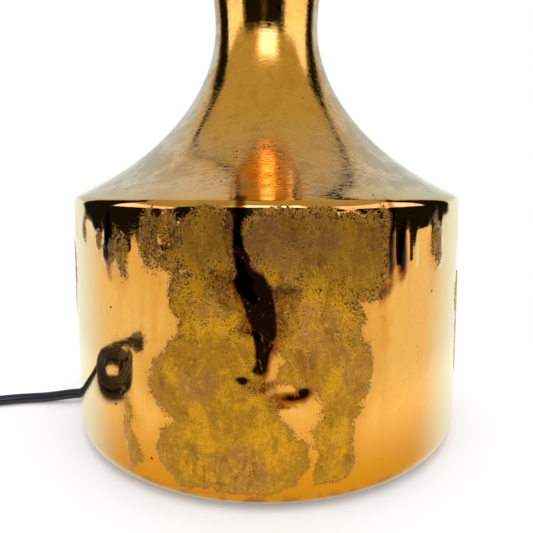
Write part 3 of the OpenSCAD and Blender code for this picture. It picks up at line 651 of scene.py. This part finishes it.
def thread(low, high, pitch, depth, fade=1.5 * MM):
    """Right-handed rounded thread on the outside of a turned piece between two heights."""
    def ridge(angle, r, z):
        turn = (z / pitch - angle / math.tau) * math.tau
        span = smooth(z, low - fade, low + fade) * smooth(z, high + fade, high - fade)
        return depth * span * (0.5 + 0.5 * np.cos(turn)) * (r >= np.max(r) - 3 * MM)
    return ridge


def make_holder_shell():
    lo, hi = SHELL_LO[2], SHELL_HI[2]
    zs = np.linspace(lo + 0.6 * MM, hi - 0.6 * MM, 110)
    outside = [(SHELL_R - 0.6 * MM, lo)] + [(SHELL_R, z) for z in zs] + [(SHELL_R - 0.5 * MM, hi)]
    inside = [(SHELL_R - SHELL_WALL, hi), (SHELL_R - SHELL_WALL, lo)]
    ridge = thread(lo + 12 * MM, hi - 6 * MM, SHELL_PITCH, SHELL_RIDGE)

    def push(angle, row, r, z):
        return np.where((row > 0) & (row <= len(zs)), ridge(angle, r, z), 0.0)
    obj = closed_lathe("threaded_holder_shell", outside + inside, 180, push)
    return finish_piece(obj, "brass", "lamp", "holder_shell")


def make_bulb_cap():
    lo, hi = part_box("bulb_cap")
    low, high = lo[2], hi[2]
    core = BULB_CAP_R - BULB_RIDGE
    hollow, seat = 11.8 * MM, 12.3 * MM
    zs = np.linspace(low + 0.5 * MM, high - 5.2 * MM, 90)
    outside = [(core - 0.4 * MM, low)] + [(core, z) for z in zs]
    outside += [(BULB_CAP_R, high - 4.6 * MM), (BULB_CAP_R, high - 0.3 * MM),
                (BULB_CAP_R - 0.3 * MM, high)]
    ledge = GLASS_BOTTOM - 0.1 * MM
    inside = [(seat, high), (seat, ledge), (hollow, ledge), (hollow, low)]
    ridge = thread(low + 1.5 * MM, high - 7.5 * MM, BULB_PITCH, BULB_RIDGE, 1.2 * MM)

    def push(angle, row, r, z):
        return np.where((row > 0) & (row <= len(zs)), ridge(angle, np.full(r.shape, core), z), 0.0)
    obj = closed_lathe("threaded_bulb_cap", outside + inside, 120, push)
    return finish_piece(obj, "cap_aluminium", "bulb", "bulb_cap")


make_holder_shell()
make_bulb_cap()


# ---------------------------------------------------------------- carried-over CAD nodes
SLOT_OF = {part["node"]: part["material_slot"] for part in frame["record"]["subparts"]}
for name, obj in NODES.items():
    obj.data.materials.clear()
    obj.data.materials.append(MATERIALS[SLOT_OF[name]])


# ---------------------------------------------------------------- floor and light
def make_floor():
    near, far, side = -0.80, 2.6, 2.4
    corners = [(-side, near, 0), (side, near, 0), (side, far, 0), (-side, far, 0)]
    obj = mesh_object("floor", corners, [(0, 1, 2, 3)])

    def white(t):
        p = t.coords()
        away = t.add("ShaderNodeVectorMath", {0: p}, operation="LENGTH").outputs["Value"]
        color = t.mix(t.noise(p, 3, 2), rgb(0.90, 0.90, 0.90), rgb(0.92, 0.92, 0.92))
        matt = t.add("ShaderNodeBsdfPrincipled", {"Base Color": color, "Roughness": 0.7,
                                                  "Specular IOR Level": 0.0}).outputs[0]
        glow = t.add("ShaderNodeEmission", {"Color": rgb(1, 1, 1), "Strength": 1.0}).outputs[0]
        lit = t.blend(t.step(away, 0.17, 0.30), 0.25, 1.0)
        both = t.add("ShaderNodeMixShader", {0: lit, 1: matt, 2: glow}).outputs[0]
        t.add("ShaderNodeOutputMaterial", {"Surface": both})
    obj.data.materials.append(material("floor_white", white))


SOFT_BOXES = ((-94, -53), (40, 97))
DARK_ROOM, BOX_LIGHT, CEILING, KEY_LIGHT = 0.010, 1.45, 0.50, 2.8
LAMP_TINT = rgb(1.0, 1.1, 3.4)


def make_world():
    """Directions are degrees right of the front and up. A white back wall, a dark room with two soft
    boxes in front, and a grey ceiling. The camera sees plain white. The lamps are blue in mirrors only."""
    world = bpy.data.worlds.new("studio")
    scene.world = world
    world.use_nodes = True
    t = Tree(world.node_tree)
    d = t.add("ShaderNodeSeparateXYZ", {0: t.add("ShaderNodeTexCoord").outputs["Generated"]}).outputs
    side = t.math("DEGREES", t.math("ARCTAN2", d[0], t.times(d[1], -1.0)))
    up = t.math("DEGREES", t.math("ARCSINE", d[2]))
    across = t.math("ABSOLUTE", side)
    eaves = t.math("ADD", t.math("SUBTRACT", t.blend(t.step(across, 45, 105), 33.0, 49.0),
                                 t.times(t.span(side, -98, -50, 5), 11.0)),
                   t.times(t.step(side, -136, -152), 13.0))
    above = t.math("SUBTRACT", up, eaves)
    back = t.blend(t.step(up, 4, 16), 1.0, 0.66)
    light = t.blend(t.step(across, 127, 123), back, DARK_ROOM)
    for left, right in SOFT_BOXES:
        light = t.blend(t.times(t.span(side, left, right, 1.0), t.step(up, 8, 10)), light, BOX_LIGHT)
    trim = t.times(t.span(above, -3.5, 0, 0.4), t.step(across, 98, 102))
    light = t.blend(trim, light, DARK_ROOM)
    light = t.blend(t.step(above, -0.5, 0.8), light, CEILING)
    glow = t.times(t.span(side, -24, 24, 12), t.span(up, 34, 55, 6))
    light = t.math("ADD", light, t.times(glow, 0.60))
    key = t.times(t.span(side, -17, 24, 1.0), t.span(up, 33.5, 51, 1.2))
    light = t.blend(key, light, KEY_LIGHT)
    stand = t.times(t.span(side, -9, -3, 2), t.span(up, 0, 26, 6))
    light = t.math("ADD", light, t.times(stand, 0.10))
    path = t.add("ShaderNodeLightPath").outputs
    seen = path["Is Camera Ray"]
    lamps = t.math("ADD", t.times(t.math("GREATER_THAN", light, 1.2), 0.6), key)
    cool = t.times(lamps, path["Is Glossy Ray"])
    tint = t.mix(cool, rgb(1, 1, 1), LAMP_TINT)
    lit = t.add("ShaderNodeBackground", {"Color": tint, "Strength": light}).outputs[0]
    plain = t.add("ShaderNodeBackground", {"Color": rgb(1, 1, 1), "Strength": 1.0}).outputs[0]
    mixed = t.add("ShaderNodeMixShader", {0: seen, 1: lit, 2: plain}).outputs[0]
    t.add("ShaderNodeOutputWorld", {"Surface": mixed})


def make_fill():
    """A broad overhead light for the floor and the matt patches; mirrors don't show it."""
    data = bpy.data.lights.new("overhead", "AREA")
    data.shape, data.size, data.size_y, data.energy = "RECTANGLE", 2.6, 2.6, 40
    obj = link(bpy.data.objects.new("overhead", data))
    obj.location = (0, 0, 1.7)
    obj.visible_glossy = False
    obj.visible_camera = False


make_floor()
make_world()
make_fill()
